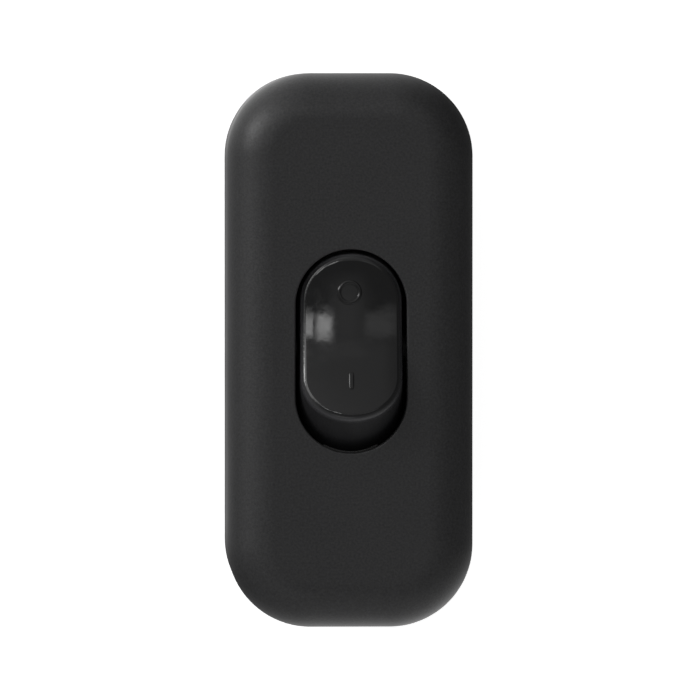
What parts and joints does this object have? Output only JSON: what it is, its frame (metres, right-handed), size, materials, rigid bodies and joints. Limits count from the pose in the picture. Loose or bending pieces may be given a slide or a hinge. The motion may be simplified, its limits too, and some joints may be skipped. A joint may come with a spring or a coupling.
{
  "type": "inline cord switch",
  "caption": "Oblong black inline cord switch with rounded edges, a glossy stadium-shaped rocker in its front and a round cord inlet at each end.",
  "frame": {"origin": "middle of the underside, which lies on the surface", "axes": "+X across the switch, +Y along the cord towards the rocker's O end, +Z out of the front face"},
  "size_m": [0.0274, 0.062, 0.0244],
  "materials": {
    "matte_black_plastic": "fine matte moulded texture",
    "gloss_black_plastic": "polished",
    "white_plastic": "plain moulded",
    "brass": "stamped",
    "silver": "coined",
    "spring_steel": "drawn wire",
    "zinc_steel": "zinc plated"
  },
  "bodies": {
    "housing": {"base_shell": "matte_black_plastic", "cover_shell": "matte_black_plastic", "line_terminal_left": "brass", "line_terminal_right": "brass", "load_terminal_left": "brass", "load_terminal_right": "brass", "fixed_rivets": "silver", "terminal_screws": "zinc_steel", "line_cord_clamp": "matte_black_plastic", "load_cord_clamp": "matte_black_plastic", "clamp_screws": "zinc_steel", "housing_screws": "zinc_steel"},
    "rocker": {"rocker": "gloss_black_plastic", "spring_left": "spring_steel", "spring_right": "spring_steel"},
    "plunger_left": {"plunger_left": "white_plastic"},
    "plunger_right": {"plunger_right": "white_plastic"},
    "contact_left": {"moving_contact_left": "brass", "moving_rivet_left": "silver"},
    "contact_right": {"moving_contact_right": "brass", "moving_rivet_right": "silver"}
  },
  "joints": [
    {"name": "rocker_tilt", "type": "hinge", "parent": "housing", "child": "rocker", "pos_m": [0, 0, 0.0147], "axis": [1, 0, 0], "range_deg": [0, 24]},
    {"name": "plunger_left_slide", "type": "slide", "parent": "rocker", "child": "plunger_left", "axis": [0, 0.2079, 0.9781], "range_m": [0, 0.0008], "stiffness_N_per_m": 800, "springref_m": -0.0008, "deforming": ["spring_left"]},
    {"name": "contact_left_rock", "type": "hinge", "parent": "housing", "child": "contact_left", "pos_m": [-0.0035, 0, 0.0056], "axis": [1, 0, 0], "range_deg": [-20, 0]},
    {"name": "plunger_right_slide", "type": "slide", "parent": "rocker", "child": "plunger_right", "axis": [0, 0.2079, 0.9781], "range_m": [0, 0.0008], "stiffness_N_per_m": 800, "springref_m": -0.0008, "deforming": ["spring_right"]},
    {"name": "contact_right_rock", "type": "hinge", "parent": "housing", "child": "contact_right", "pos_m": [0.0035, 0, 0.0056], "axis": [1, 0, 0], "range_deg": [-20, 0]}
  ],
  "couplings": [
    {"joint": "contact_left_rock", "follows": "rocker_tilt", "ratio": -0.83333},
    {"joint": "contact_right_rock", "follows": "rocker_tilt", "ratio": -0.83333}
  ]
}
